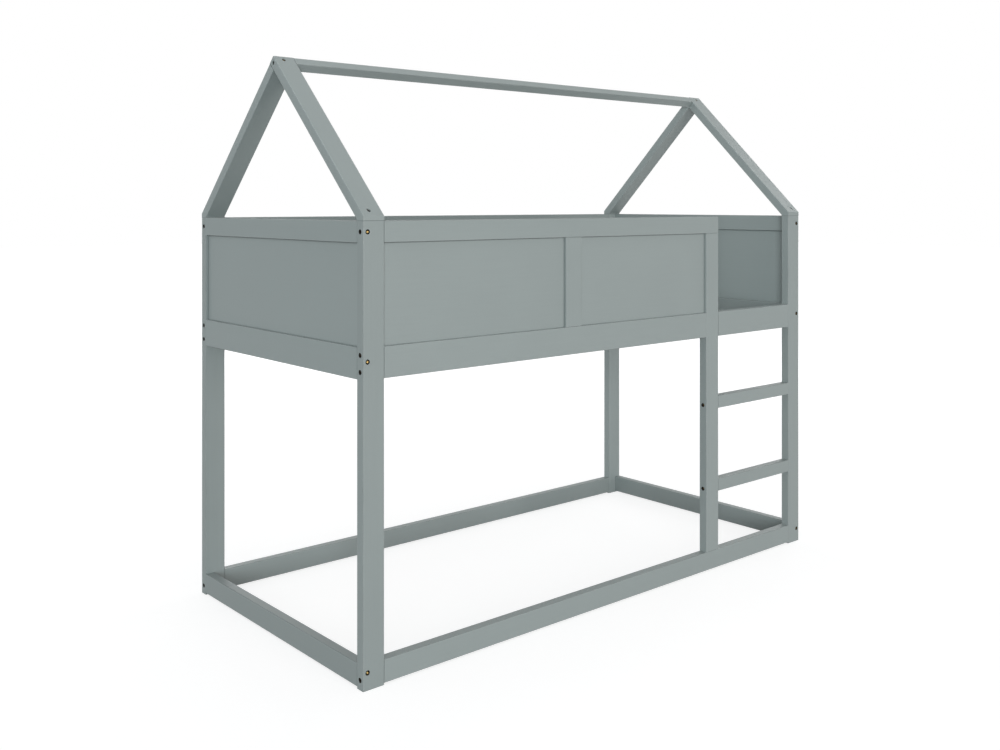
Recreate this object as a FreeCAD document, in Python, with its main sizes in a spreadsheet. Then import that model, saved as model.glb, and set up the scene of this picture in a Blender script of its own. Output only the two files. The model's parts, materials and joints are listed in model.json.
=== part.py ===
import FreeCAD, Part
import math
import os
from types import SimpleNamespace

import Sketcher
from FreeCAD import Placement, Rotation, Vector

# A bunk bed with a house-shaped roof frame, bolted together from flat boards.
# X runs along the mattress, Y from the front to the back and Z up, in millimetres.
# The origin lies on the floor under the middle of the bed.

SIZES = {
    # Space for the mattress, and the boards around it.
    "mattress_length": 2000,
    "mattress_width": 900,
    "mattress_gap": 2,
    "board": 30,
    "edge_radius": 2,
    # Posts and rails.
    "post_width": 70,
    "post_height": 1272,
    "foot_gap": 5,
    "bottom_rail_height": 65,
    "side_rail_bottom": 840,
    "side_rail_height": 88,
    "top_rail_height": 60,
    # Ladder, beside the way in to the upper bunk.
    "access_gap": 440,
    "rung_height": 45,
    "rung_bottom": 279,
    "rung_rise": 300,
    # Panels, let into grooves in the boards around them.
    "stile_width": 70,
    "left_panel_width": 705,
    "panel_thickness": 12,
    "panel_gap": 1,
    "groove_depth": 8,
    "groove_play": 0.2,
    # Roof: the rafters rise at 45 degrees from a short upright heel.
    "rafter_heel": 2.5,
    "rafter_seat": 13,
    "rafter_bolt_inset": 28,
    "rafter_dowel_inset": 48,
    "apex_bolt_inset": 31,
    # Slatted base.
    "ledger_height": 30,
    "ledger_depth": 20,
    "ledger_gap": 1,
    "slat_width": 80,
    "slat_thickness": 18,
    "slat_gap": 1,
    # Socket-head bolts and the threaded inserts that they screw into.
    "bolt_diameter": 6,
    "bolt_play": 1,
    "bolt_tail": 7,
    "head_diameter": 10,
    "head_height": 6,
    "socket_width": 5,
    "socket_depth": 3,
    "seat_play": 4,
    "roof_seat_play": 2,
    "seat_depth": 7,
    "long_seat_depth": 12,
    "corner_seat_depth": 27,
    "ridge_seat_depth": 42,
    "insert_diameter": 10,
    "insert_length": 15,
    "insert_play": 0.2,
    "insert_gap": 0.5,
    # Where the bolts and dowels sit, up or down from the middle of a rail.
    "bottom_bolt_offset": 10.5,
    "bottom_dowel_offset": 14,
    "side_bolt_offset": 23,
    "side_end_bolt_offset": 5.5,
    "side_dowel_offset": 28,
    "top_dowel_offset": 16,
    "rung_bolt_offset": 6,
    "rung_dowel_offset": 10,
    "upright_dowel_offset": 20,
    # Wood dowels and wood screws.
    "dowel_diameter": 8,
    "dowel_length": 30,
    "dowel_in_face": 10,
    "dowel_play": 0.2,
    "dowel_gap": 1,
    "dowel_chamfer": 1,
    "screw_diameter": 4,
    "screw_head": 8,
    "screw_length": 35,
    "screw_tip": 6,
    "screw_play": 0.2,
    "screw_gap": 1,
    "screw_cross": 4,
    "screw_cross_width": 1,
    "screw_cross_depth": 1.2,
    "ledger_screw_inset": 130,
    "ledger_screw_rise": 7,
}
SLAT_COUNT = 13
RUNG_NAMES = ("lower_rung", "upper_rung")
LONG_RAIL_SCREWS = 4
SHORT_RAIL_SCREWS = 2
BACK_RAIL_SCREWS = 6
ROOT_TWO = math.sqrt(2)
ROOF_PITCH = 45
COUNTERSINK_ANGLE = 90
ALONG = 0.999

doc = FreeCAD.newDocument("BunkBed")
sheet = doc.addObject("Spreadsheet::Sheet", "Sizes")
for row, (alias, number) in enumerate(SIZES.items(), start=1):
    sheet.set(f"A{row}", alias)
    sheet.set(f"B{row}", str(number))
    sheet.setAlias(f"B{row}", alias)
doc.recompute()


class Length:
    """A size worked out from the sheet: the expression that binds it, and its value."""

    def __init__(self, text, value):
        self.text = text
        self.value = value

    def __add__(self, other):
        return Length(f"({self.text} + {other.text})", self.value + other.value)

    def __sub__(self, other):
        return Length(f"({self.text} - {other.text})", self.value - other.value)

    def __mul__(self, factor):
        return Length(f"({self.text} * {factor})", self.value * factor)

    def __truediv__(self, divisor):
        return Length(f"({self.text} / {divisor})", self.value / divisor)

    def __neg__(self):
        return self * -1


def bind(thing, name, length):
    """Tie one property of a document object to the sheet."""
    thing.setExpression(name, length.text)


ZERO = Length("0", 0.0)
size = SimpleNamespace(**{alias: Length(f"Sizes.{alias}", float(sheet.get(alias))) for alias in SIZES})

# Places that several pieces share.
half_length = size.mattress_length / 2 + size.mattress_gap + size.board
half_width = size.mattress_width / 2 + size.mattress_gap + size.board
inner_x = half_length - size.board
inner_y = half_width - size.board
post_x = half_length - size.post_width
ladder_x = post_x - size.access_gap - size.post_width
gap_x = ladder_x + size.post_width
middle = size.board / 2
front_y = -half_width
front_middle = front_y + middle
back_middle = inner_y + middle
bottom_rail_top = size.foot_gap + size.bottom_rail_height
bottom_middle = size.foot_gap + size.bottom_rail_height / 2
side_rail_top = size.side_rail_bottom + size.side_rail_height
side_middle = size.side_rail_bottom + size.side_rail_height / 2
top_rail_bottom = size.post_height - size.top_rail_height
top_middle = size.post_height - size.top_rail_height / 2
groove_low = side_rail_top - size.groove_depth
groove_high = top_rail_bottom + size.groove_depth
groove_half = size.panel_thickness / 2 + size.groove_play
slat_bottom = size.side_rail_bottom + size.ledger_height
slat_top = slat_bottom + size.slat_thickness
ledger_middle = inner_y - size.ledger_depth / 2
ledger_face = inner_y - size.ledger_depth

# Holes for the fasteners.
bolt_hole = size.bolt_diameter + size.bolt_play
seat_hole = size.head_diameter + size.seat_play
roof_seat_hole = size.head_diameter + size.roof_seat_play
insert_hole = size.insert_diameter + size.insert_play
insert_depth = size.insert_length + size.insert_gap
bolt_reach = size.insert_length + size.bolt_tail
bolt_depth = bolt_reach + size.bolt_play
dowel_hole = size.dowel_diameter + size.dowel_play
dowel_half = size.dowel_length / 2
screw_hole = size.screw_diameter + size.screw_play

# The roof: each rafter's outer face meets the post's outer face this far above the post.
rafter_stub = size.rafter_heel + size.board * (ROOT_TWO - 1)
lap = size.board / ROOT_TWO
apex_z = size.post_height + rafter_stub + half_width
ridge_z = apex_z - lap

# A face of a board is an axis and the side of the board that it is on.
LEFT = (0, -1)
RIGHT = (0, 1)
FRONT = (1, -1)
BACK = (1, 1)
BOTTOM = (2, -1)
TOP = (2, 1)
PLANES = ("YZ_Plane", "XZ_Plane", "XY_Plane")
IN_PLANE = ((1, 2), (0, 2), (0, 1))
UNITS = (Vector(1, 0, 0), Vector(0, 1, 0), Vector(0, 0, 1))
H_AXIS = -1
V_AXIS = -2

boards = []
pockets = []
sub_parts = []


def opposite(face):
    """The face on the other side of the same board."""
    axis, side = face
    return axis, -side


def inward(face):
    """The direction that a drill takes through a face."""
    axis, side = face
    return UNITS[axis] * -side


def moved_to(point, axis, place):
    """The point with one of its three coordinates replaced."""
    return point[:axis] + (place,) + point[axis + 1:]


def place_point(sketch, geometry, vertex, across, up):
    """Fix one point of a sketch at two bound distances from the sketch's origin."""
    for kind, axis, length in (("DistanceX", V_AXIS, across), ("DistanceY", H_AXIS, up)):
        if length.value == 0:
            sketch.addConstraint(Sketcher.Constraint("PointOnObject", geometry, vertex, axis))
            continue
        fixed = Sketcher.Constraint(kind, H_AXIS, 1, geometry, vertex, length.value)
        bind(sketch, f"Constraints[{sketch.addConstraint(fixed)}]", length)


def draw_outline(sketch, points):
    """A closed outline of straight lines through bound points."""
    corners = [Vector(across.value, up.value, 0) for across, up in points]
    first = sketch.GeometryCount
    for start, end in zip(corners, corners[1:] + corners[:1]):
        sketch.addGeometry(Part.LineSegment(start, end), False)
    for number, (across, up) in enumerate(points):
        following = (number + 1) % len(points)
        sketch.addConstraint(Sketcher.Constraint("Coincident", first + number, 2, first + following, 1))
        place_point(sketch, first + number, 1, across, up)


def draw_rectangle(sketch, low, high):
    """A rectangle between two bound corners."""
    draw_outline(sketch, [low, (high[0], low[1]), high, (low[0], high[1])])


def draw_circles(sketch, diameter, centres):
    """Circles of one bound diameter around bound points."""
    for across, up in centres:
        round_edge = Part.Circle(Vector(across.value, up.value, 0), Vector(0, 0, 1), diameter.value / 2)
        circle = sketch.addGeometry(round_edge, False)
        fixed = Sketcher.Constraint("Diameter", circle, diameter.value)
        bind(sketch, f"Constraints[{sketch.addConstraint(fixed)}]", diameter)
        place_point(sketch, circle, 3, across, up)


def new_sketch(body, axis, origin=(ZERO, ZERO, ZERO), turn=0):
    """A sketch square to one axis of a body, moved to a bound origin and turned about X."""
    planes = {feature.Role: feature for feature in body.Origin.OriginFeatures}
    sketch = body.newObject("Sketcher::SketchObject", "Sketch")
    sketch.AttachmentSupport = [(planes[PLANES[axis]], "")]
    sketch.MapMode = "FlatFace"
    sketch.AttachmentOffset = Placement(Vector(), Rotation(Vector(1, 0, 0), turn))
    for name, length in zip("xyz", origin):
        bind(sketch, f"AttachmentOffset.Base.{name}", length)
    return sketch


def pad(body, sketch, length, flip=False):
    """The sketch's outline made solid, to a bound length."""
    feature = body.newObject("PartDesign::Pad", "Pad")
    feature.Profile = sketch
    feature.Reversed = flip
    feature.Refine = False
    bind(feature, "Length", length)
    return feature


def pocket(body, sketch, depth, flip=False):
    """The sketch's outline cut away, to a bound depth."""
    feature = body.newObject("PartDesign::Pocket", "Pocket")
    feature.Profile = sketch
    feature.Reversed = flip
    feature.Refine = False
    bind(feature, "Length", depth)
    pockets.append(feature)


class Board:
    """A board: its outline padded along one axis, its long edges eased, then grooved and drilled.

    The body is drawn from its own low corner. Points are given in the bed's frame,
    apart from those of bore and bore_slope, which count from that corner.
    The cuts are listed as the joints are laid out, and made once every board is there.
    """

    def __init__(self, label, axis, corner, lengths, eased=True, outline=None, turn=Rotation(), grain=None):
        self.body = doc.addObject("PartDesign::Body", label)
        self.corner = corner
        self.lengths = lengths
        self.eased = eased
        self.grain = grain or UNITS[axis]
        self.grooves = []
        self.holes = {}
        self.slope_holes = []
        self.screw_holes = []
        across, up = (lengths[other] for other in IN_PLANE[axis])
        sketch = new_sketch(self.body, axis)
        draw_outline(sketch, outline or [(ZERO, ZERO), (across, ZERO), (across, up), (ZERO, up)])
        self.solid = pad(self.body, sketch, lengths[axis], flip=axis == 1)
        self.body.Placement = Placement(Vector(), turn)
        for name, place in zip("xyz", corner):
            bind(self.body, f"Placement.Base.{name}", place)
        boards.append(self)
        sub_parts.append(self.body)

    def plane(self, face):
        """Where a face lies along its axis, in the bed's frame."""
        axis, side = face
        return self.corner[axis] if side < 0 else self.corner[axis] + self.lengths[axis]

    def on_face(self, face, point):
        """A point of the bed's frame as a place on a face, counted from this board's corner."""
        return tuple(point[axis] - self.corner[axis] for axis in IN_PLANE[face[0]])

    def bore(self, face, diameter, depth, centres):
        """Round holes into a face, at places counted from this board's corner."""
        alike = self.holes.setdefault((face, diameter.text, depth.text), (diameter, depth, []))
        alike[-1].extend(centres)

    def drill(self, face, diameter, depth, points):
        """Round holes into a face, at points of the bed's frame."""
        self.bore(face, diameter, depth, [self.on_face(face, point) for point in points])

    def bore_slope(self, turn, origin, diameter, depth, centre, flip=False):
        """One round hole square to a plane that is turned about X and passes through origin."""
        self.slope_holes.append((turn, origin, diameter, depth, centre, flip))

    def groove(self, face, low, high):
        """A groove for a panel, between two points of the bed's frame."""
        self.grooves.append((face, self.on_face(face, low), self.on_face(face, high)))

    def countersink(self, face, points):
        """Holes right through for wood screws, with room for their heads at the face."""
        self.screw_holes.append((face, [self.on_face(face, point) for point in points]))

    def face_sketch(self, face):
        """A sketch on a face, and whether a cut into the board runs along the sketch's normal."""
        axis, side = face
        offset = self.lengths[axis] if side > 0 else ZERO
        sketch = new_sketch(self.body, axis, (ZERO, ZERO, -offset if axis == 1 else offset))
        return sketch, (side < 0) != (axis == 1)

    def ease(self):
        """Round the edges that run along the grain."""
        names = []
        for number, edge in enumerate(self.solid.Shape.Edges, start=1):
            if abs(edge.tangentAt(edge.FirstParameter).dot(self.grain)) > ALONG:
                names.append(f"Edge{number}")
        fillet = self.body.newObject("PartDesign::Fillet", "EasedEdges")
        fillet.Base = (self.solid, names)
        fillet.Refine = False
        bind(fillet, "Radius", size.edge_radius)

    def machine(self):
        """Make the listed grooves, and the holes: those alike in one face are one feature."""
        for face, low, high in self.grooves:
            sketch, flip = self.face_sketch(face)
            draw_rectangle(sketch, low, high)
            pocket(self.body, sketch, size.groove_depth, flip)
        for (face, _, _), (diameter, depth, centres) in self.holes.items():
            sketch, flip = self.face_sketch(face)
            draw_circles(sketch, diameter, centres)
            pocket(self.body, sketch, depth, flip)
        for turn, origin, diameter, depth, centre, flip in self.slope_holes:
            sketch = new_sketch(self.body, 2, origin, turn)
            draw_circles(sketch, diameter, [centre])
            pocket(self.body, sketch, depth, flip)

    def sink_screws(self):
        """Make the listed countersunk holes."""
        for face, centres in self.screw_holes:
            sketch, flip = self.face_sketch(face)
            draw_circles(sketch, screw_hole, centres)
            hole = self.body.newObject("PartDesign::Hole", "ScrewHoles")
            hole.Profile = sketch
            hole.Reversed = flip
            hole.Refine = False
            hole.DepthType = "ThroughAll"
            hole.HoleCutType = "Countersink"
            hole.HoleCutCustomValues = True
            hole.HoleCutCountersinkAngle = COUNTERSINK_ANGLE
            bind(hole, "Diameter", screw_hole)
            bind(hole, "HoleCutDiameter", size.screw_head + size.screw_play)
            pockets.append(hole)


# Fasteners of one kind share a node; each list holds their places and directions.
long_bolts = []
corner_bolts = []
short_bolts = []
ladder_foot_bolts = []
ladder_top_bolts = []
rafter_foot_bolts = []
ridge_bolts = []
tie_rods = []
inserts = []
dowels = []
screws = []


def set_inserts(rail, face, points):
    """Threaded inserts, flush with the end of a rail, and room behind them for the tips of their bolts."""
    axis, side = face
    rail.drill(face, bolt_hole, bolt_depth, points)
    rail.drill(face, insert_hole, insert_depth, points)
    for point in points:
        inserts.append((moved_to(point, axis, rail.plane(face)), inward(face)))


def bolt_joint(bolts, post, rail, face, points, seat=size.seat_depth):
    """Bolts that enter a post by one face, pass through it and end in the rail behind it."""
    axis, side = face
    post.drill(face, bolt_hole, post.lengths[axis], points)
    post.drill(face, seat_hole, seat, points)
    set_inserts(rail, face, points)
    head = post.plane(face) - seat * side
    for point in points:
        bolts.append((moved_to(point, axis, head), inward(face)))


def dowel_joint(first, second, face, points, depth=dowel_half):
    """Dowels from one board into a face of the next one; depth is their share in the first."""
    axis, side = face
    first.drill(opposite(face), dowel_hole, depth + size.dowel_gap, points)
    second.drill(face, dowel_hole, size.dowel_length - depth + size.dowel_gap, points)
    start = second.plane(face) + depth * side
    for point in points:
        dowels.append((moved_to(point, axis, start), inward(face)))


def levels(x, y, *heights):
    """Points above each other."""
    return [(x, y, height) for height in heights]


# Posts.
def corner_post(row, end):
    """One of the four posts, flush with the outside of the bed."""
    x = -half_length if end == "left" else post_x
    y = front_y if row == "front" else inner_y
    lengths = (size.post_width, size.board, size.post_height)
    return Board(f"{row}_{end}_post", 2, (x, y, ZERO), lengths)


posts = {(row, end): corner_post(row, end) for row in ("front", "back") for end in ("left", "right")}
ladder_post = Board(
    "ladder_post", 2, (ladder_x, front_y, bottom_rail_top),
    (size.post_width, size.board, top_rail_bottom - bottom_rail_top))


# Rails along the bed and across its ends.
def long_rail(label, row, start, end, bottom, height):
    """A rail along the front or the back, between two places in X."""
    y = front_y if row == "front" else inner_y
    return Board(label, 0, (start, y, bottom), (end - start, size.board, height))


def end_rail(label, end, bottom, height):
    """A rail across one end, between the front and back posts."""
    x = -half_length if end == "left" else inner_x
    return Board(label, 1, (x, -inner_y, bottom), (size.board, inner_y * 2, height))


bottom_place = (size.foot_gap, size.bottom_rail_height)
side_place = (size.side_rail_bottom, size.side_rail_height)
top_place = (top_rail_bottom, size.top_rail_height)
bottom_rails = {row: long_rail(f"{row}_bottom_rail", row, -post_x, post_x, *bottom_place)
                for row in ("front", "back")}
front_side_rail = long_rail("front_side_rail", "front", -post_x, ladder_x, *side_place)
front_short_rail = long_rail("front_short_side_rail", "front", gap_x, post_x, *side_place)
front_top_rail = long_rail("front_top_rail", "front", -post_x, gap_x, *top_place)
back_side_rail = long_rail("back_side_rail", "back", -post_x, post_x, *side_place)
back_top_rail = long_rail("back_top_rail", "back", -post_x, post_x, *top_place)
end_rails = {}
for end in ("left", "right"):
    end_rails[end] = (
        end_rail(f"{end}_bottom_rail", end, *bottom_place),
        end_rail(f"{end}_side_rail", end, *side_place),
        end_rail(f"{end}_top_rail", end, *top_place),
    )
rungs = []
for number, label in enumerate(RUNG_NAMES):
    rung_z = size.rung_bottom + size.rung_rise * number
    rungs.append(long_rail(label, "front", gap_x, post_x, rung_z, size.rung_height))

# Heights of the bolts and dowels at the ends of the long rails.
bottom_bolts = (bottom_middle - size.bottom_bolt_offset,)
side_bolts = (side_middle - size.side_bolt_offset, side_middle + size.side_bolt_offset)
top_dowels = (top_middle - size.top_dowel_offset, top_middle + size.top_dowel_offset)


def fix_rail_end(bolts, post, rail, row, end, bolt_heights, dowel_heights, seat=size.long_seat_depth):
    """Bolt and dowel one end of a long rail to the post beside it."""
    y = front_middle if row == "front" else back_middle
    face = LEFT if end == "left" else RIGHT
    bolt_joint(bolts, post, rail, face, levels(ZERO, y, *bolt_heights), seat)
    dowel_joint(post, rail, face, levels(ZERO, y, *dowel_heights))


for (row, end), post in posts.items():
    bottom_dowels = (bottom_middle + size.bottom_dowel_offset,)
    fix_rail_end(long_bolts, post, bottom_rails[row], row, end, bottom_bolts, bottom_dowels)
    at_gap = (row, end) == ("front", "right")
    side_rail = front_short_rail if at_gap else {"front": front_side_rail, "back": back_side_rail}[row]
    fix_rail_end(long_bolts, post, side_rail, row, end, side_bolts, (side_middle,))
    if not at_gap:
        top_rail = {"front": front_top_rail, "back": back_top_rail}[row]
        fix_rail_end(corner_bolts, post, top_rail, row, end, (top_middle,), top_dowels,
                     size.corner_seat_depth)

# The ladder post carries the side rails' ends and the rungs.
for number, rung in enumerate(rungs):
    rung_middle = size.rung_bottom + size.rung_rise * number + size.rung_height / 2
    rung_bolts = (rung_middle - size.rung_bolt_offset,)
    rung_dowels = (rung_middle + size.rung_dowel_offset,)
    fix_rail_end(long_bolts, ladder_post, rung, "front", "left", rung_bolts, rung_dowels)
    fix_rail_end(long_bolts, posts["front", "right"], rung, "front", "right", rung_bolts, rung_dowels)
rod_points = levels(ladder_x, front_middle, *side_bolts)
ladder_post.drill(LEFT, bolt_hole, size.post_width, rod_points)
for rail, face in ((front_side_rail, RIGHT), (front_short_rail, LEFT)):
    set_inserts(rail, face, rod_points)
    dowel_joint(ladder_post, rail, face, levels(ZERO, front_middle, side_middle))
for point in rod_points:
    tie_rods.append((moved_to(point, 0, gap_x + bolt_reach), Vector(-1, 0, 0)))

# It stands between the bottom rail and the top rail, with a bolt and two dowels at each end.
ladder_middle = ladder_x + size.post_width / 2
ladder_axis = [(ladder_middle, front_middle, ZERO)]
bolt_joint(ladder_foot_bolts, bottom_rails["front"], ladder_post, BOTTOM, ladder_axis)
bolt_joint(ladder_top_bolts, front_top_rail, ladder_post, TOP, ladder_axis)


def pair_beside(x, y):
    """Two points side by side, for the dowels in the end of an upright."""
    return [(x - size.upright_dowel_offset, y, ZERO), (x + size.upright_dowel_offset, y, ZERO)]


dowel_joint(bottom_rails["front"], ladder_post, BOTTOM, pair_beside(ladder_middle, front_middle))
dowel_joint(ladder_post, front_top_rail, BOTTOM, pair_beside(ladder_middle, front_middle))

# The end rails are bolted through the wide faces of the posts.
for (row, end), post in posts.items():
    face = FRONT if row == "front" else BACK
    x = -half_length + middle if end == "left" else half_length - middle
    bolt_heights = (bottom_middle + size.bottom_bolt_offset, side_middle + size.side_end_bolt_offset,
                    top_middle)
    dowel_heights = (
        (bottom_middle - size.bottom_dowel_offset,),
        (side_middle - size.side_dowel_offset, side_middle + size.side_dowel_offset),
        (top_middle - size.top_dowel_offset,),
    )
    for rail, bolt_height, heights in zip(end_rails[end], bolt_heights, dowel_heights):
        bolt_joint(short_bolts, post, rail, face, levels(x, ZERO, bolt_height))
        dowel_joint(post, rail, face, levels(x, ZERO, *heights), size.dowel_in_face)


# Stiles and panels.
def stile(label, row, start, side_rail, top_rail):
    """An upright between a side rail and a top rail, doweled at both ends."""
    y = front_y if row == "front" else inner_y
    lengths = (size.stile_width, size.board, top_rail_bottom - side_rail_top)
    upright = Board(label, 2, (start, y, side_rail_top), lengths)
    points = pair_beside(start + size.stile_width / 2, y + middle)
    dowel_joint(side_rail, upright, BOTTOM, points)
    dowel_joint(upright, top_rail, BOTTOM, points)
    return upright


def runs_past(rail, upright):
    """Whether a rail runs on past an upright's end, so that its groove goes on behind the panel's edge."""
    return upright in (front_stile, back_stile) or (upright is ladder_post and rail is front_top_rail)


def panel(label, row, start, end, sides, rails):
    """A panel along the bed, in grooves in two uprights and in the rails above and below."""
    y = front_middle if row == "front" else back_middle
    for upright, face in zip(sides, (RIGHT, LEFT)):
        upright.groove(face, (ZERO, y - groove_half, groove_low), (ZERO, y + groove_half, groove_high))
    for rail, face in zip(rails, (TOP, BOTTOM)):
        ends = []
        for upright, place, reach in zip(sides, (start, end), (-size.groove_depth, size.groove_depth)):
            ends.append(place + reach if runs_past(rail, upright) else place)
        rail.groove(face, (ends[0], y - groove_half, ZERO), (ends[1], y + groove_half, ZERO))
    reach = size.groove_depth - size.panel_gap
    corner = (start - reach, y - size.panel_thickness / 2, groove_low)
    height = groove_high - groove_low - size.panel_gap
    return Board(label, 0, corner, (end - start + reach * 2, size.panel_thickness, height), eased=False)


front_stile_x = size.left_panel_width - post_x
back_stile_x = -size.stile_width / 2
front_stile = stile("front_stile", "front", front_stile_x, front_side_rail, front_top_rail)
back_stile = stile("back_stile", "back", back_stile_x, back_side_rail, back_top_rail)
front_rails = (front_side_rail, front_top_rail)
back_rails = (back_side_rail, back_top_rail)
panel("front_left_panel", "front", -post_x, front_stile_x,
      (posts["front", "left"], front_stile), front_rails)
panel("front_right_panel", "front", front_stile_x + size.stile_width, ladder_x,
      (front_stile, ladder_post), front_rails)
panel("back_left_panel", "back", -post_x, back_stile_x,
      (posts["back", "left"], back_stile), back_rails)
panel("back_right_panel", "back", back_stile_x + size.stile_width, post_x,
      (back_stile, posts["back", "right"]), back_rails)


def end_panel(end):
    """The panel across one end, in grooves in two posts and two rails."""
    x = -half_length + middle if end == "left" else half_length - middle
    low_x = x - groove_half
    high_x = x + groove_half
    for row, face in (("front", BACK), ("back", FRONT)):
        posts[row, end].groove(face, (low_x, ZERO, groove_low), (high_x, ZERO, groove_high))
    for rail, face in zip(end_rails[end][1:], (TOP, BOTTOM)):
        rail.groove(face, (low_x, -inner_y, ZERO), (high_x, inner_y, ZERO))
    reach = size.groove_depth - size.panel_gap
    corner = (x - size.panel_thickness / 2, -inner_y - reach, groove_low)
    height = groove_high - groove_low - size.panel_gap
    lengths = (size.panel_thickness, (inner_y + reach) * 2, height)
    return Board(f"{end}_panel", 1, corner, lengths, eased=False)


for end in ("left", "right"):
    end_panel(end)


# The roof frame.
def rafter(row, end):
    """A rafter on top of a post. The front one ends at the apex and laps over the back one."""
    foot = [(size.board, size.rafter_heel), (size.board, ZERO), (ZERO, ZERO), (ZERO, rafter_stub)]
    if row == "front":
        top = [(half_width, rafter_stub + half_width), (half_width + lap, rafter_stub + half_width - lap)]
    else:
        top = [(half_width - lap, rafter_stub + half_width - lap),
               (half_width, rafter_stub + half_width - lap * 2)]
    x = -half_length if end == "left" else post_x
    if row == "back":
        x = x + size.post_width
    corner = (x, front_y if row == "front" else half_width, size.post_height)
    turn = Rotation(Vector(0, 0, 1), 0 if row == "front" else 180)
    lengths = (size.post_width, half_width, half_width)
    slope = Vector(0, 1, 1).normalize()
    return Board(f"{row}_{end}_rafter", 0, corner, lengths, outline=foot + top, turn=turn, grain=slope)


def outer_place(row, end, inset):
    """A place across a rafter, counted from its low side, that lies inset from the bed's end."""
    outer_is_low = (row == "front") == (end == "left")
    return inset if outer_is_low else size.post_width - inset


for (row, end), post in posts.items():
    piece = rafter(row, end)
    sign = -1 if end == "left" else 1
    facing = -1 if row == "front" else 1
    bolt_x = (half_length - size.rafter_bolt_inset) * sign
    dowel_x = (half_length - size.rafter_dowel_inset) * sign
    foot_y = (half_width - middle) * facing
    # The foot: a bolt down into an insert in the post, and a dowel beside it.
    bolt_place = (outer_place(row, end, size.rafter_bolt_inset), middle)
    piece.bore(BOTTOM, bolt_hole, size.rafter_seat, [bolt_place])
    piece.bore_slope(0, (ZERO, ZERO, size.rafter_seat), roof_seat_hole, size.board * 2, bolt_place, flip=True)
    piece.bore(BOTTOM, dowel_hole, dowel_half + size.dowel_gap,
               [(outer_place(row, end, size.rafter_dowel_inset), middle)])
    bolt_point = (bolt_x, foot_y, size.post_height + size.rafter_seat)
    set_inserts(post, TOP, [bolt_point])
    post.drill(TOP, dowel_hole, dowel_half + size.dowel_gap, [(dowel_x, foot_y, ZERO)])
    rafter_foot_bolts.append((bolt_point, Vector(0, 0, -1)))
    dowels.append(((dowel_x, foot_y, size.post_height - dowel_half), Vector(0, 0, 1)))
    # The apex: a bolt square to the front slope, into the end of the back rafter.
    across = outer_place(row, end, size.apex_bolt_inset)
    apex_x = (half_length - size.apex_bolt_inset) * sign
    if row == "front":
        slope_foot = (ZERO, ZERO, rafter_stub)
        centre = (across, half_width * ROOT_TWO - middle)
        piece.bore_slope(ROOF_PITCH, slope_foot, bolt_hole, size.board, centre)
        piece.bore_slope(ROOF_PITCH, slope_foot, roof_seat_hole, size.seat_depth, centre)
        outer = LEFT if end == "left" else RIGHT
        ridge_place = (half_width, rafter_stub + half_width - lap)
        piece.bore(outer, bolt_hole, size.post_width, [ridge_place])
        piece.bore(outer, roof_seat_hole, size.ridge_seat_depth, [ridge_place])
        head = (apex_x, (size.seat_depth - middle) / ROOT_TWO, apex_z - (middle + size.seat_depth) / ROOT_TWO)
        short_bolts.append((head, Vector(0, 1, -1)))
        ridge_head = ((half_length - size.ridge_seat_depth) * sign, ZERO, ridge_z)
        ridge_bolts.append((ridge_head, Vector(-sign, 0, 0)))
    else:
        end_corner = (ZERO, half_width - lap, rafter_stub + half_width - lap)
        piece.bore_slope(-ROOF_PITCH, end_corner, bolt_hole, bolt_depth, (across, middle))
        piece.bore_slope(-ROOF_PITCH, end_corner, insert_hole, insert_depth, (across, middle))
        inserts.append(((apex_x, lap / 2, ridge_z - lap / 2), Vector(0, 1, -1)))

ridge = Board("ridge", 0, (-post_x, ZERO, apex_z - lap * 2), (post_x * 2, size.board, size.board),
              turn=Rotation(Vector(1, 0, 0), ROOF_PITCH))
for face, sign in ((LEFT, -1), (RIGHT, 1)):
    ridge.bore(face, bolt_hole, bolt_depth, [(middle, middle)])
    ridge.bore(face, insert_hole, insert_depth, [(middle, middle)])
    inserts.append(((post_x * sign, ZERO, ridge_z), Vector(-sign, 0, 0)))


# The slatted base: ledgers screwed to the side rails, and slats screwed to the ledgers.
def evenly(rail, count):
    """Places along a rail, equally far apart, for the screws of a ledger."""
    start = rail.corner[0] + size.ledger_screw_inset
    span = rail.lengths[0] - size.ledger_screw_inset * 2
    return [start + span * (number / (count - 1)) for number in range(count)]


slat_space = (inner_x * 2 - size.slat_width * SLAT_COUNT) / (SLAT_COUNT + 1)
slat_starts = [slat_space - inner_x + (size.slat_width + slat_space) * number for number in range(SLAT_COUNT)]
slat_middles = [start + size.slat_width / 2 for start in slat_starts]
ledger_runs = (
    ("front", -1, ((front_side_rail, LONG_RAIL_SCREWS), (front_short_rail, SHORT_RAIL_SCREWS))),
    ("back", 1, ((back_side_rail, BACK_RAIL_SCREWS),)),
)
for row, sign, rails in ledger_runs:
    ledger_x = inner_x - size.ledger_gap
    ledger_y = -inner_y if row == "front" else ledger_face
    ledger = Board(f"{row}_ledger", 0, (-ledger_x, ledger_y, size.side_rail_bottom),
                   (ledger_x * 2, size.ledger_depth, size.ledger_height))
    inside = BACK if row == "front" else FRONT
    screw_z = size.side_rail_bottom + size.ledger_screw_rise
    head_y = ledger_face * sign
    points = []
    for rail, count in rails:
        rail_points = [(x, head_y, screw_z) for x in evenly(rail, count)]
        rail.drill(inside, screw_hole, size.screw_length - size.ledger_depth + size.screw_gap, rail_points)
        points = points + rail_points
    ledger.countersink(inside, points)
    for point in points:
        screws.append((point, inward(inside)))
    slat_points = [(x, ledger_middle * sign, slat_top) for x in slat_middles]
    ledger.drill(TOP, screw_hole, size.screw_length - size.slat_thickness + size.screw_gap, slat_points)
    for point in slat_points:
        screws.append((point, Vector(0, 0, -1)))

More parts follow.
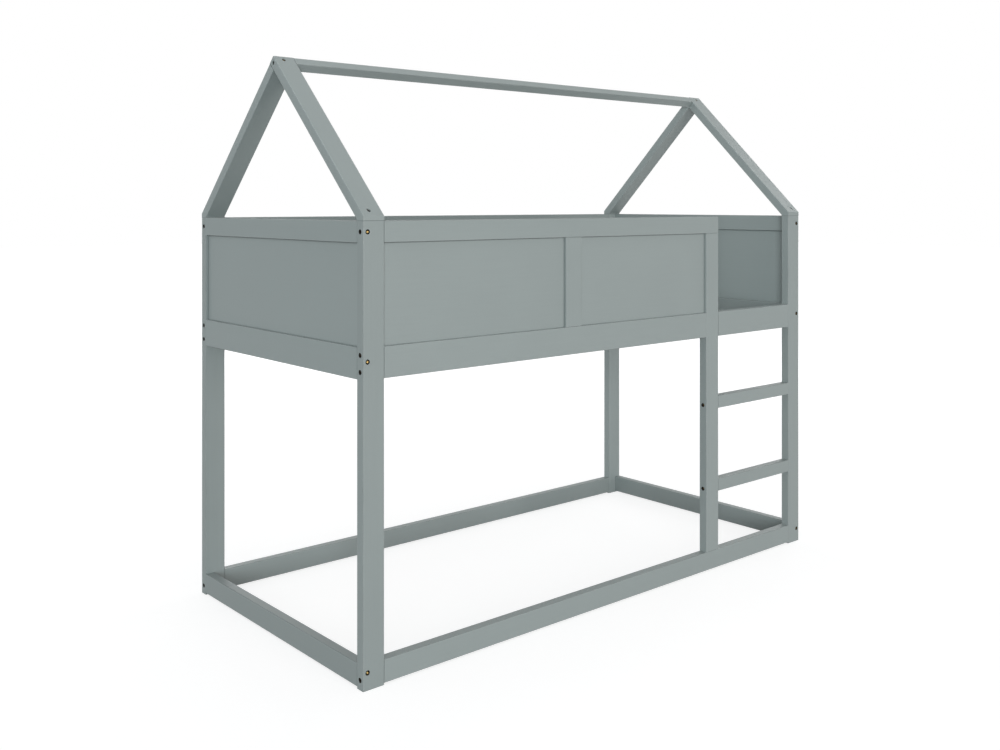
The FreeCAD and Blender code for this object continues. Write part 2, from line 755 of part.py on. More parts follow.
for number, (start, x) in enumerate(zip(slat_starts, slat_middles), start=1):
    slat_half = inner_y - size.slat_gap
    slat = Board(f"slat_{number:02d}", 1, (start, -slat_half, slat_bottom),
                 (size.slat_width, slat_half * 2, size.slat_thickness))
    slat.countersink(TOP, [(x, -ledger_middle, ZERO), (x, ledger_middle, ZERO)])

# Every board is drawn and every joint laid out: now the boards are eased, grooved, drilled and countersunk.
doc.recompute()
for piece in boards:
    if piece.eased:
        piece.ease()
    piece.machine()
doc.recompute()
for piece in boards:
    piece.sink_screws()


# Fasteners.
def turned(name, profile):
    """A body of revolution about Z, from the radius and height of each corner of its half section."""
    body = doc.addObject("PartDesign::Body", name)
    sketch = new_sketch(body, 1)
    draw_outline(sketch, profile)
    revolution = body.newObject("PartDesign::Revolution", "Revolution")
    revolution.Profile = sketch
    revolution.ReferenceAxis = (sketch, ["V_Axis"])
    return body


def bolt(name, length):
    """A socket-head bolt that points down, with the seat of its head at the origin."""
    radius = size.bolt_diameter / 2
    head = size.head_diameter / 2
    body = turned(name, [(ZERO, -length), (radius, -length), (radius, ZERO), (head, ZERO),
                         (head, size.head_height), (ZERO, size.head_height)])
    corner = size.socket_width / math.sqrt(3)
    sketch = new_sketch(body, 2, (ZERO, ZERO, size.head_height))
    half = size.socket_width / 2
    draw_outline(sketch, [(corner, ZERO), (corner / 2, half), (-corner / 2, half),
                          (-corner, ZERO), (-corner / 2, -half), (corner / 2, -half)])
    pocket(body, sketch, size.socket_depth)
    return body


def stud(name, length):
    """A plain rod that points down from the origin."""
    radius = size.bolt_diameter / 2
    return turned(name, [(ZERO, -length), (radius, -length), (radius, ZERO), (ZERO, ZERO)])


def insert(name):
    """A threaded insert that points down, with its mouth at the origin."""
    bore = (size.bolt_diameter + size.insert_play) / 2
    radius = size.insert_diameter / 2
    length = size.insert_length
    return turned(name, [(bore, -length), (radius, -length), (radius, ZERO), (bore, ZERO)])


def dowel(name):
    """A round dowel that points up from the origin, with chamfered ends."""
    radius = size.dowel_diameter / 2
    slim = radius - size.dowel_chamfer
    length = size.dowel_length
    return turned(name, [(ZERO, ZERO), (slim, ZERO), (radius, size.dowel_chamfer),
                         (radius, length - size.dowel_chamfer), (slim, length), (ZERO, length)])


def screw(name):
    """A countersunk wood screw that points down, with the top of its head at the origin."""
    radius = size.screw_diameter / 2
    head = size.screw_head / 2
    body = turned(name, [(ZERO, -size.screw_length), (radius, size.screw_tip - size.screw_length),
                         (radius, radius - head), (head, ZERO), (ZERO, ZERO)])
    sketch = new_sketch(body, 2)
    arm = size.screw_cross / 2
    half = size.screw_cross_width / 2
    draw_outline(sketch, [(arm, -half), (arm, half), (half, half), (half, arm), (-half, arm), (-half, half),
                          (-arm, half), (-arm, -half), (-half, -half), (-half, -arm),
                          (half, -arm), (half, -half)])
    pocket(body, sketch, size.screw_cross_depth)
    return body


def group(label, pattern, places):
    """Copies of one fastener, each at its place and turned its own way, as one sub-part."""
    copies = []
    for point, turn in places:
        copy = doc.addObject("App::Link", f"{pattern.Name}_copy")
        copy.LinkedObject = pattern
        copy.Placement = Placement(Vector(), turn)
        for name, place in zip("xyz", point):
            bind(copy, f"Placement.Base.{name}", place)
        copies.append(copy)
    compound = doc.addObject("Part::Compound", label)
    compound.Links = copies
    sub_parts.append(compound)


def pointing(places, rest):
    """The turn that swings a fastener from the way it was drawn to the way it is driven."""
    return [(point, Rotation(rest, direction)) for point, direction in places]


DOWN = Vector(0, 0, -1)
UP = Vector(0, 0, 1)
bolt_groups = (
    ("long_bolts", size.post_width - size.long_seat_depth + bolt_reach, long_bolts),
    ("top_corner_bolts", size.post_width - size.corner_seat_depth + bolt_reach, corner_bolts),
    ("short_bolts", size.board - size.seat_depth + bolt_reach, short_bolts),
    ("ladder_foot_bolt", size.bottom_rail_height - size.seat_depth + bolt_reach, ladder_foot_bolts),
    ("ladder_top_bolt", size.top_rail_height - size.seat_depth + bolt_reach, ladder_top_bolts),
    ("rafter_foot_bolts", size.rafter_seat + bolt_reach, rafter_foot_bolts),
    ("ridge_bolts", size.post_width - size.ridge_seat_depth + bolt_reach, ridge_bolts),
)
for label, length, places in bolt_groups:
    group(label, bolt(f"{label}_pattern", length), pointing(places, DOWN))
group("ladder_tie_rods", stud("tie_rod_pattern", size.post_width + bolt_reach * 2), pointing(tie_rods, DOWN))
group("wood_dowels", dowel("dowel_pattern"), pointing(dowels, UP))
group("wood_screws", screw("screw_pattern"), pointing(screws, DOWN))
group("threaded_inserts", insert("insert_pattern"), pointing(inserts, DOWN))

# Every feature has to work, and every cut has to remove wood, before anything is written.
doc.recompute()
for thing in doc.Objects:
    if "Invalid" in thing.State or "Error" in thing.State:
        raise RuntimeError(f"{thing.Label} failed: {thing.State}")
volumes = {}
for feature in pockets:
    for solid in (feature.BaseFeature, feature):
        if solid.Name not in volumes:
            volumes[solid.Name] = solid.Shape.Volume
    if volumes[feature.Name] >= volumes[feature.BaseFeature.Name]:
        raise RuntimeError(f"{feature.Label} removes nothing")
for thing in sub_parts:
    if thing.Shape.isNull() or not thing.Shape.isValid():
        raise RuntimeError(f"{thing.Label} has no sound shape")

os.makedirs("parts", exist_ok=True)
for thing in sub_parts:
    thing.Shape.exportStep(f"parts/{thing.Label}.step")
print(f"{len(sub_parts)} sub-parts, {sum(len(thing.Shape.Solids) for thing in sub_parts)} solids")
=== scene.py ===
# %% [markdown]
# # A painted bunk bed with a house-shaped roof frame
#
# The bed comes apart into posts, rails, panels, rafters, slats and the fasteners that hold them.
# Each of these is a solid of the frame that is loaded below, already at its real size and place.
# This lesson gives every solid its finish, puts turned bolts in the place of the plain ones, and
# sets up the light and the camera.
# All lengths are in metres. X runs along the mattress, Y from the front to the back and Z up.

# %% Load the frame
import json
import math
from collections import namedtuple

import bpy
import numpy as np
from mathutils import Euler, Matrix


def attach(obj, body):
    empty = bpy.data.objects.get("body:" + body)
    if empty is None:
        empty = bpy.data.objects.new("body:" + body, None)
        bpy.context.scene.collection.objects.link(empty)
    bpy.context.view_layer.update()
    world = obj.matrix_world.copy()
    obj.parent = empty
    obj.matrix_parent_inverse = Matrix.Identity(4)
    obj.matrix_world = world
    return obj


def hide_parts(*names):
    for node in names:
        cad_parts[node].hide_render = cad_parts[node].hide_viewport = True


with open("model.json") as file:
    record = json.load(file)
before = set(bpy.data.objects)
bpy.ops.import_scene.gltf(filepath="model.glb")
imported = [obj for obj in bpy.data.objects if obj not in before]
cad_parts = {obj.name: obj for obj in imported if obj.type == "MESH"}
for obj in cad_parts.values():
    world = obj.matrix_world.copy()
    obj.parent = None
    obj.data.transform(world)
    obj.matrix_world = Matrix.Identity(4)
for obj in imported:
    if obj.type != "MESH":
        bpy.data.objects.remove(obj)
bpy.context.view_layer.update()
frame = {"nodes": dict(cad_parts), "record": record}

nodes = frame["nodes"]

# %% [markdown]
# ## Sort the solids by finish
#
# A finish belongs to a kind of piece: the boards, slats and panels are painted, the dowels are beech,
# the bolts are plated yellow and the hidden hardware is zinc.
# The sorting could be a list of names typed by hand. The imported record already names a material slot
# for every node, so it is read from there, and a piece that is added later sorts itself.

# %% Solids of each finish
solids_of = {}
for entry in frame["record"]["subparts"]:
    solids_of.setdefault(entry["material_slot"], []).append(entry["node"])
for slot, names in solids_of.items():
    print(f"{slot}: {len(names)}")

# %% [markdown]
# ## Shader maths as Python
#
# A finish is a tree of shader nodes, and linking them one by one is slow to write and hard to read.
# Here one small class wraps a node's output. Its operators add Math nodes, so that a mask such as
# `1 - edge * 0.5` reads as the sum that it is. The result is the same tree as one that is linked by
# hand.


# %% Wires
class Wire:
    """The output of a shader node. Arithmetic on wires adds Math nodes to the same tree."""

    def __init__(self, recipe, socket):
        self.recipe = recipe
        self.socket = socket

    def out(self, name):
        """Another output of the same node."""
        return Wire(self.recipe, self.socket.node.outputs[name])

    def math(self, operation, *others):
        """A Math node with this wire as its first value."""
        values = dict(enumerate((self, *others)))
        return self.recipe.node("ShaderNodeMath", {"operation": operation}, values)

    def step(self, low, high):
        """A smooth rise from 0 at low to 1 at high, or a smooth fall if high is the lower of the two."""
        values = {"Value": self, "From Min": low, "From Max": high}
        return self.recipe.node("ShaderNodeMapRange", {"interpolation_type": "SMOOTHSTEP"}, values)

    def __add__(self, other):
        return self.math("ADD", other)

    def __sub__(self, other):
        return self.math("SUBTRACT", other)

    def __rsub__(self, other):
        return self.recipe.node("ShaderNodeMath", {"operation": "SUBTRACT"}, {0: other, 1: self})

    def __mul__(self, other):
        return self.math("MULTIPLY", other)

    def __truediv__(self, other):
        return self.math("DIVIDE", other)

    __radd__ = __add__
    __rmul__ = __mul__


print("wires can be added, subtracted, multiplied and divided")

# %% [markdown]
# ## Recipes
#
# A wire needs a tree to add its nodes to, and a second class holds it. One method adds any node: its
# kind, its settings, such as a ramp's stops, and the values or links of its sockets. Three short
# methods stand for what the finishes below use most: noise, a mix of two colours and the closing
# shader.

# %% Recipes
MIX_SHARE, MIX_FIRST, MIX_SECOND, MIX_RESULT = 0, 6, 7, 2  # a Mix node's sockets when it mixes colours


def opaque(value):
    """A colour of three numbers gets its fourth; anything else stays as it is."""
    return (*value, 1.0) if isinstance(value, tuple) else value


def set_stops(elements, stops):
    """Give a colour ramp its stops, each a position and a colour."""
    while len(elements) < len(stops):
        elements.new(1.0)
    for element, (position, colour) in zip(elements, stops):
        element.position = position
        element.color = opaque(colour)


class Recipe:
    """A shader tree in the making."""

    def __init__(self, tree):
        self.tree = tree
        tree.nodes.clear()

    def node(self, kind, settings=None, values=None, output=0):
        """Any node: its settings come first, then the values or links of its sockets."""
        made = self.tree.nodes.new(kind)
        for name, setting in (settings or {}).items():
            if name == "stops":
                set_stops(made.color_ramp.elements, setting)
            else:
                setattr(made, name, setting)
        for name, value in (values or {}).items():
            if isinstance(value, Wire):
                self.tree.links.new(value.socket, made.inputs[name])
            else:
                made.inputs[name].default_value = value
        return Wire(self, made.outputs[output]) if made.outputs else None

    def noise(self, vector, scale, detail=2.0, rough=0.5):
        """Smooth noise around one half, at so many features to the metre."""
        values = {"Vector": vector, "Scale": scale, "Detail": detail, "Roughness": rough}
        return self.node("ShaderNodeTexNoise", {}, values)

    def mix(self, first, second, share):
        """From one colour to another, by a share between 0 and 1."""
        values = {MIX_SHARE: share, MIX_FIRST: opaque(first), MIX_SECOND: opaque(second)}
        return self.node("ShaderNodeMix", {"data_type": "RGBA"}, values, MIX_RESULT)

    def finish(self, **values):
        """The closing Principled shader. An underscore in a name stands for a space in its socket's."""
        sockets = {name.replace("_", " "): opaque(value) for name, value in values.items()}
        shader = self.node("ShaderNodeBsdfPrincipled", {}, sockets)
        self.node("ShaderNodeOutputMaterial", {}, {"Surface": shader})


def new_finish(name):
    """An empty material, its recipe, and the point of the surface in Object coordinates."""
    material = bpy.data.materials.new(name)
    material.use_nodes = True
    recipe = Recipe(material.node_tree)
    return material, recipe, recipe.node("ShaderNodeTexCoord", {}, {}, "Object")


print("recipes can add noise, mixes and any other node")

# %% [markdown]
# ## The grain of each board
#
# Paint shows the wood beneath it, and wear and a painted highlight follow the edges, so a finish has
# to know how its board lies. That could be a texture map unwrapped for each board. The solids are plain
# boards, so three directions say it all: along the grain, across the width and through the thickness.
# For a level or upright board they are the axes in order of its lengths. The roof's boards lie at 45
# degrees.

# %% Board frames
Board = namedtuple("Board", "axes low size feet number")
SLOPE = math.sqrt(0.5)
AXES = np.eye(3)
UP_BACK = np.array((0.0, SLOPE, SLOPE))
UP_FRONT = np.array((0.0, -SLOPE, SLOPE))


def board_axes(name, lengths):
    """Unit vectors along the grain, across the width and through the thickness."""
    if name.endswith("_rafter"):
        front = name.startswith("front")
        return np.array((UP_BACK if front else UP_FRONT, AXES[0], UP_FRONT if front else UP_BACK))
    if name == "ridge":
        return np.array((AXES[0], UP_BACK, UP_FRONT))
    return AXES[np.argsort(-lengths, kind="stable")]


def points_of(name):
    """The corners of a solid's mesh, one row each."""
    mesh = nodes[name].data
    points = np.empty(len(mesh.vertices) * 3)
    mesh.vertices.foreach_get("co", points)
    return points.reshape(-1, 3)


def read_board(number, name):
    """The frame of one board: its box along its own three axes, and a number to vary its pattern by.

    A rafter is cut to stand on its post, so it has two more outer faces. feet holds their planes, the
    upright one first and then the sole. The width and thickness are taken from its upper half, where it
    is a plain board.
    """
    points = points_of(name)
    axes = board_axes(name, np.ptp(points, axis=0))
    placed = points @ axes.T
    low, size = placed.min(axis=0), np.ptp(placed, axis=0)
    upper = placed[placed[:, 0] > low[0] + size[0] / 2, 1:]
    low[1:], size[1:] = upper.min(axis=0), np.ptp(upper, axis=0)
    feet = []
    if name.endswith("_rafter"):
        outward = AXES[1] * (-1.0 if name.startswith("front") else 1.0)
        feet = [(tuple(outward), (points @ outward).max()), (tuple(-AXES[2]), -points[:, 2].min())]
    return Board([tuple(axis) for axis in axes], low, size, feet, number)


wooden = [name for slot in ("board_paint", "panel_paint") for name in solids_of[slot]]
boards = {name: read_board(number, name) for number, name in enumerate(wooden)}
print(f"{len(boards)} boards; the front left post measures {boards['front_left_post'].size.round(3)}")

# %% [markdown]
# ## Distances on a board
#
# Wear and a painted highlight gather at edges, dark lines and painted shade at joints, and the drilled
# holes show bare wood under the paint, painted near black as shade. All of these need the distance from
# a point to the board's faces. Geometry's Pointiness needs a dense mesh, and a bevel shader costs extra
# rays. On a board the distance is plain arithmetic: the smaller of the way to one face and the way to
# the opposite one, along each of its three axes.

# %% Distances as wires
Reach = namedtuple("Reach", "along across through end rim edge depth")
NEXT_BOARD = 7.3  # from the start of one board to that of the next, in the noise


def place_along(recipe, point, way):
    """How far a point lies along a unit vector."""
    return recipe.node("ShaderNodeVectorMath", {"operation": "DOT_PRODUCT"}, {0: point, 1: way}, "Value")


def reach_of(recipe, point, board):
    """Places on a board, and distances: to its ends, outline, long edges and outer faces."""
    places = []
    nearest = []
    for axis, low, length in zip(board.axes, board.low, board.size):
        place = place_along(recipe, point, axis) - float(low)
        places.append(place)
        nearest.append(place.math("MINIMUM", float(length) - place))
    end, side, face = nearest
    depth = end.math("MINIMUM", side).math("MINIMUM", face)
    feet = [float(limit) - place_along(recipe, point, outward) for outward, limit in board.feet]
    for foot in feet:
        depth = depth.math("MINIMUM", foot)
    if feet:
        sole = feet[-1]
        end = end.math("MINIMUM", sole)
    return Reach(*places, end, end.math("MINIMUM", side), side.math("MAXIMUM", face), depth)


def stretched(recipe, reach, board, slow):
    """A point whose noise runs in streaks along the grain; each board starts elsewhere in the noise."""
    start = board.number * NEXT_BOARD
    values = {0: reach.along * slow + start, 1: reach.across + start, 2: reach.through}
    return recipe.node("ShaderNodeCombineXYZ", {}, values)


print(f"distances have {len(Reach._fields)} values: {', '.join(Reach._fields)}")

# %% [markdown]
# ## Growth rings
#
# A board is a slice of a trunk, and its rings show as arches on the wide face, lines on the edge and
# arcs at the end. A flat wood picture would break at every edge. Here the rings are worked out in
# space: the distance from the trunk's middle, bent by slow noise along the trunk, counted in years.
# The middle lies at a different place beside each board, so no two boards match.

# %% Rings as a wire
YEAR = 0.0038
BEND = 0.011
BEND_NOISE = (9.0, 3.0, 0.55)  # here and below: features to the metre, detail and roughness
BEND_SLOW = 0.12
TRUNK_ASIDE = 0.45  # as a share of the board's width
TRUNK_BELOW, TRUNK_BELOW_VARIES = 0.030, 0.022
ASIDE_TURN, BELOW_TURN = 2.4, 1.7


def growth_rings(recipe, reach, board):
    """Fraction of the year's growth: fract((distance from the trunk's middle + bend) / one year)."""
    turn = board.number * ASIDE_TURN
    middle_across = float(board.size[1]) * (0.5 + TRUNK_ASIDE * math.sin(turn))
    middle_through = -TRUNK_BELOW - TRUNK_BELOW_VARIES * (1.0 + math.cos(turn * BELOW_TURN))
    trunk = stretched(recipe, reach, board, BEND_SLOW)
    bend = recipe.noise(trunk, *BEND_NOISE) * BEND
    aside = reach.across - middle_across
    below = reach.through - middle_through
    radius = (aside * aside + below * below).math("SQRT")
    return ((radius + bend) / YEAR).math("FRACT")


print(f"one year is {YEAR * 1000:.1f} mm")

# %% [markdown]
# ## Dark lines at the joints, and painted shade round the panels
#
# The coat of paint ends in a dark line where one board meets the next. The lines could be thin
# pieces of their own. The distances already know where the joints are: at the ends of a board, and
# round a panel, where it comes out of its groove. So a line is a mask that falls off within a
# millimetre or two, and its strength says how tight the joint is. Round a panel the line is also
# painted shade, darkest under the rail along its top and beside the board at its far end.

# %% Joint lines
END_LINE_FALL = (0.0014, 0.0002)
RAFTER_LINE, BUTT_LINE, TIGHT_LINE = 0.75, 0.45, 0.15
PANEL_LET_IN = 0.007
# round a panel the dark line is also painted shade, most along the top and the far end
PANEL_LINE_AND_SHADE, PANEL_LINE_AND_SHADE_FALL = 0.75, (0.0035, 0.0008)
SHADED_EDGE_START, SHADED_EDGE_FULL = 0.025, 0.012
LEFT_PANEL_LINE_AND_SHADE_ELSEWHERE, PANEL_LINE_AND_SHADE_ELSEWHERE = 0.9, 0.25


def end_line(name):
    """How dark the line at a board's ends is: darkest under a rafter, faint where bolts pull tight."""
    if name.endswith("_rafter"):
        return RAFTER_LINE
    if name.endswith("_rung") or name.startswith(("left_", "right_", "ladder_")):
        return TIGHT_LINE
    return BUTT_LINE


def panel_line_and_shade(reach, board, elsewhere):
    """The line round a panel, where it comes out of its groove.

    The line is darkest along the top and at the far end, where it is also painted shade under the rail
    above and beside the board at that end. Elsewhere the line is weaker by the factor given.
    """
    length, height = float(board.size[0]), float(board.size[1])
    top = reach.across.step(height - SHADED_EDGE_START, height - SHADED_EDGE_FULL)
    far_end = reach.along.step(length - SHADED_EDGE_START, length - SHADED_EDGE_FULL)
    shaded_edges = top.math("MAXIMUM", far_end)
    line = (reach.rim - PANEL_LET_IN).step(*PANEL_LINE_AND_SHADE_FALL)
    return line * (shaded_edges * (1.0 - elsewhere) + elsewhere) * PANEL_LINE_AND_SHADE


def joint_line_and_shade(name, reach, board):
    """How far the line of a joint covers the paint, from 0 to 1; round a panel the line is also painted
    shade.
    """
    if name.endswith("_panel"):
        return panel_line_and_shade(reach, board, LEFT_PANEL_LINE_AND_SHADE_ELSEWHERE if name == "left_panel" else PANEL_LINE_AND_SHADE_ELSEWHERE)
    return reach.end.step(*END_LINE_FALL) * end_line(name)


print(f"lines reach {END_LINE_FALL[0] * 1000:.1f} mm from an end")

# %% [markdown]
# ## Painted boards
#
# The real boards are softwood under a sprayed coat of satin grey with a little green and blue in it.
# The coat is even but not flat: it lies in faint streaks along the grain, the wood's rings stand
# through it as fine ridges, and it is thinner and paler on the rounded edges, which is also a painted
# highlight. Inside a drilled hole there is bare wood, painted near black as shade. A few boards are
# painted a little darker or paler than the rest, as painted shade and light for how much light reaches
# them.
# One function makes the finish for one board, so that each board has its own grain and tone.

# %% Paint
PAINT = (0.308, 0.350, 0.344)
# paler paint on the worn edges, which is also a painted highlight
PAINT_THIN_AND_HIGHLIGHT = (0.44, 0.485, 0.475)
# the dark line at a joint; round a panel it is also painted shade
PAINT_JOINT_AND_SHADE = (0.10, 0.115, 0.113)
# bare wood in the holes, painted near black: painted shade
BORED_WOOD_AND_SHADE = (0.016, 0.012, 0.008)
STREAKS, STREAKS_SLOW = (130.0, 3.0, 0.6), 0.045
CLOUDS = (4.5, 2.0)
STIPPLE = (620.0, 1.0)
LATE_WOOD = (0.55, 0.98)  # the part of the year's growth that stands up
STREAK_TONE, CLOUD_TONE, BOARD_TONE = 0.05, 0.07, 0.016
TONE_TURN = 5.1
# painted light and shade: a few boards are made paler or darker for the light that reaches them
PAINTED_LIGHT_TONE = {"left_bottom_rail": 0.9, "front_left_post": 0.95, "back_left_post": 0.96,
            "right_panel": 1.06, "right_top_rail": 1.06, "back_right_post": 1.1}
# the worn edges, lightened as wear and as a painted highlight
WORN_AND_HIGHLIGHT, WORN_AND_HIGHLIGHT_EDGE, WORN_AND_HIGHLIGHT_PATCHES = 0.35, (0.0032, 0.0006), (0.3, 0.65)
HOLE_RIM, SPRAYED, SPRAYED_SLOPE = 0.0003, 0.0006, 0.0058
GRAIN_HEIGHT = 0.00006
RING_RELIEF, STREAK_RELIEF, STIPPLE_RELIEF = 0.55, 0.5, 0.25
SATIN_ROUGH, STREAK_ROUGH, CLOUD_ROUGH, BORED_ROUGH = 0.34, 0.12, 0.1, 0.35
PAINT_SPECULAR = 0.4
BOARD_RIDGES, PANEL_RIDGES = 1.0, 0.15


def painted(name, board, ridges):
    """Satin paint on one board.

    ridges is how far the growth rings stand through it, from 0 to 1. The spray stops at the rim of a
    hole, but reaches into the upright holes in the slopes of the rafters. Past the spray the hole's wall
    is bare wood painted near black, which is painted shade.
    """
    material, recipe, point = new_finish(f"paint_{name}")
    reach = reach_of(recipe, point, board)
    streaks = recipe.noise(stretched(recipe, reach, board, STREAKS_SLOW), *STREAKS)
    clouds = recipe.noise(stretched(recipe, reach, board, 1.0), *CLOUDS)
    stipple = recipe.noise(point, *STIPPLE)
    rings = growth_rings(recipe, reach, board).step(*LATE_WOOD)
    # a random tone for each board, and painted light or shade on a few
    tone_and_painted_light = PAINTED_LIGHT_TONE.get(name, 1.0) + BOARD_TONE * math.sin(board.number * TONE_TURN)
    value = streaks * STREAK_TONE + clouds * CLOUD_TONE + (tone_and_painted_light - (STREAK_TONE + CLOUD_TONE) / 2)
    colour = recipe.node("ShaderNodeVectorMath", {"operation": "SCALE"}, {0: PAINT, "Scale": value})
    # the rounded edges are painted paler: wear, and a painted highlight
    worn_and_highlight = reach.edge.step(*WORN_AND_HIGHLIGHT_EDGE) * clouds.step(*WORN_AND_HIGHLIGHT_PATCHES)
    colour = recipe.mix(colour, PAINT_THIN_AND_HIGHLIGHT, worn_and_highlight * WORN_AND_HIGHLIGHT)
    # dark joint lines; round a panel they are also painted shade
    colour = recipe.mix(colour, PAINT_JOINT_AND_SHADE, joint_line_and_shade(name, reach, board))
    # inside a hole: bare wood, darkened to near black as painted shade
    bored_and_shade = reach.depth.step(HOLE_RIM, SPRAYED_SLOPE if board.feet else SPRAYED)
    colour = recipe.mix(colour, BORED_WOOD_AND_SHADE, bored_and_shade)
    height = rings * (RING_RELIEF * ridges) + streaks * STREAK_RELIEF + stipple * STIPPLE_RELIEF
    relief = recipe.node("ShaderNodeBump", {}, {"Height": height, "Distance": GRAIN_HEIGHT})
    rough = streaks * STREAK_ROUGH + clouds * CLOUD_ROUGH + bored_and_shade * BORED_ROUGH + SATIN_ROUGH
    recipe.finish(Base_Color=colour, Roughness=rough, Normal=relief, Specular_IOR_Level=PAINT_SPECULAR)
    return material


def dress(name, material):
    """Give one solid a finish in place of the plain one that it was packed with."""
    slots = nodes[name].data.materials
    slots.clear()
    slots.append(material)


for slot, ridges in (("board_paint", BOARD_RIDGES), ("panel_paint", PANEL_RIDGES)):
    for name in solids_of[slot]:
        dress(name, painted(name, boards[name], ridges))
    print(f"{slot} on {len(solids_of[slot])} solids")

# %% [markdown]
# ## Beech dowels
#
# The dowels in the butt joints are beech: short dark flecks in an even, pinkish wood. They lie in all
# directions, so the flecks are a Voronoi texture in space, which looks alike from every side.

# %% Beech
BEECH, BEECH_PALE, BEECH_FLECK = (0.56, 0.35, 0.2), (0.62, 0.42, 0.26), (0.34, 0.18, 0.09)
BEECH_CLOUDS = 60.0
FLECKS, FLECK_FALL, FLECK_SHARE = 900.0, (0.25, 0.05), 0.5
BEECH_ROUGH, FLECK_ROUGH = 0.55, 0.1

beech_material, recipe, point = new_finish("beech")
spots = recipe.node("ShaderNodeTexVoronoi", {}, {"Vector": point, "Scale": FLECKS}, "Distance")
flecks = spots.step(*FLECK_FALL)
wood = recipe.mix(BEECH, BEECH_PALE, recipe.noise(point, BEECH_CLOUDS))
recipe.finish(Base_Color=recipe.mix(wood, BEECH_FLECK, flecks * FLECK_SHARE),
              Roughness=flecks * FLECK_ROUGH + BEECH_ROUGH)
for name in solids_of["dowel_beech"]:
    dress(name, beech_material)
print(f"beech on {solids_of['dowel_beech']}")

# %% [markdown]
# ## Plated bolts and zinc hardware
#
# The heads that show in the posts are steel with a yellow zinc plate: brass in colour, with a drift
# towards red and green where the plate is thicker. A metal's colour is its reflection, so the base
# colour drifts, and the roughness has fine handling marks. Below the crown the plate is dark brown,
# partly tarnish and partly painted shade for the dark ring round each head, and the bolts in the roof
# and at the end with the rungs are darker still, which is painted shade; the bolts below carry this as
# a value on their points, from 0 to 1.
# The hidden inserts, rods and screws are plain bright zinc, which has a spangle of grey flakes.

# %% Yellow plate
# tarnish below the crown, and painted shade for the dark ring round the head
TARNISH_AND_SHADE = (0.05, 0.037, 0.018)
PLATE_STOPS = ((0.3, (0.66, 0.43, 0.16)), (0.5, (0.78, 0.57, 0.24)), (0.7, (0.68, 0.56, 0.25)))
PLATE_DRIFT, HANDLING_MARKS = (95.0, 2.0), (1400.0, 2.0)
PLATE_ROUGH, MARK_ROUGH, TARNISH_ROUGH = 0.22, 0.2, 0.25

brass_material, recipe, point = new_finish("yellow_plate")
drift = recipe.noise(point, *PLATE_DRIFT)
marks = recipe.noise(point, *HANDLING_MARKS)
plate = recipe.node("ShaderNodeValToRGB", {"stops": PLATE_STOPS}, {"Fac": drift})
# 1 on the bright crown; towards 0 where tarnish and painted shade darken the plate
rubbed = recipe.node("ShaderNodeAttribute", {"attribute_name": "rubbed"}, {}, "Fac")
recipe.finish(Base_Color=recipe.mix(TARNISH_AND_SHADE, plate, rubbed), Metallic=1.0,
              Roughness=marks * MARK_ROUGH + PLATE_ROUGH + (1.0 - rubbed) * TARNISH_ROUGH)
print(f"a plate of {len(PLATE_STOPS)} colours for the bolts")

# %% Bright zinc
ZINC_DARK, ZINC_PALE = (0.52, 0.54, 0.55), (0.68, 0.69, 0.7)
FLAKES = 700.0
ZINC_ROUGH, FLAKE_ROUGH = 0.28, 0.15

zinc_material, recipe, point = new_finish("bright_zinc")
cells = recipe.node("ShaderNodeTexVoronoi", {}, {"Vector": point, "Scale": FLAKES}, "Position")
flakes = recipe.node("ShaderNodeTexWhiteNoise", {}, {"Vector": cells}, "Value")
recipe.finish(Base_Color=recipe.mix(ZINC_DARK, ZINC_PALE, flakes), Metallic=1.0,
              Roughness=flakes * FLAKE_ROUGH + ZINC_ROUGH)
for name in solids_of["hidden_steel"]:
    dress(name, zinc_material)
print(f"zinc on {solids_of['hidden_steel']}")

# %% [markdown]
# ## Where the bolts are
#
# The bolts of one length share a solid group in the frame, each as a plain cylinder with a head. To
# put a turned bolt in the place of each, the group is taken apart: corners that share a triangle get
# the same label, over and over, until every bolt has one label. The longest direction of its corners
# is its axis, and the end with the wide ring of corners is its head.

# %% Take a group apart
Bolt = namedtuple("Bolt", "seat way length")
HEAD_HEIGHT = 0.006
HEAD_SHARE = 0.9  # corners further from the axis than this share of the widest belong to the head
SAME_SPOT_DIGITS = 6  # corners that agree to a micrometre are one


def loose_solids(name):
    """The corners of each separate solid in a group, as a list of arrays."""
    mesh = nodes[name].data
    corners = np.empty(len(mesh.loops), dtype=np.int32)
    mesh.loops.foreach_get("vertex_index", corners)
    points, spot = np.unique(points_of(name).round(SAME_SPOT_DIGITS), axis=0, return_inverse=True)
    triangles = spot.reshape(-1)[corners].reshape(-1, 3)
    label = np.arange(len(points))
    changed = True
    while changed:
        lower = label.copy()
        np.minimum.at(lower, triangles, label[triangles].min(axis=1)[:, None])
        changed = (lower != label).any()
        label = lower
    return [points[label == one] for one in np.unique(label)]


def read_bolt(points):
    """The middle of the seat under one bolt's head, the unit vector out of its head, and its length."""
    offsets = points - points.mean(axis=0)
    way = np.linalg.svd(offsets, full_matrices=False)[2][0]
    height = offsets @ way
    off_axis = np.linalg.norm(offsets - height[:, None] * way, axis=1)
    head = off_axis > HEAD_SHARE * off_axis.max()
    way = way if height[head].mean() > 0 else -way
    height = points @ way
    middle = points[head].mean(axis=0)
    seat = middle + (height.max() - HEAD_HEIGHT - middle @ way) * way
    return Bolt(seat, way, np.ptp(height) - HEAD_HEIGHT)


bolts_of = {}
for name in solids_of["bolt_brass"]:
    bolts_of[name] = [read_bolt(solid) for solid in loose_solids(name)]
    print(f"{name}: {len(bolts_of[name])}, {bolts_of[name][0].length * 1000:.0f} mm long")

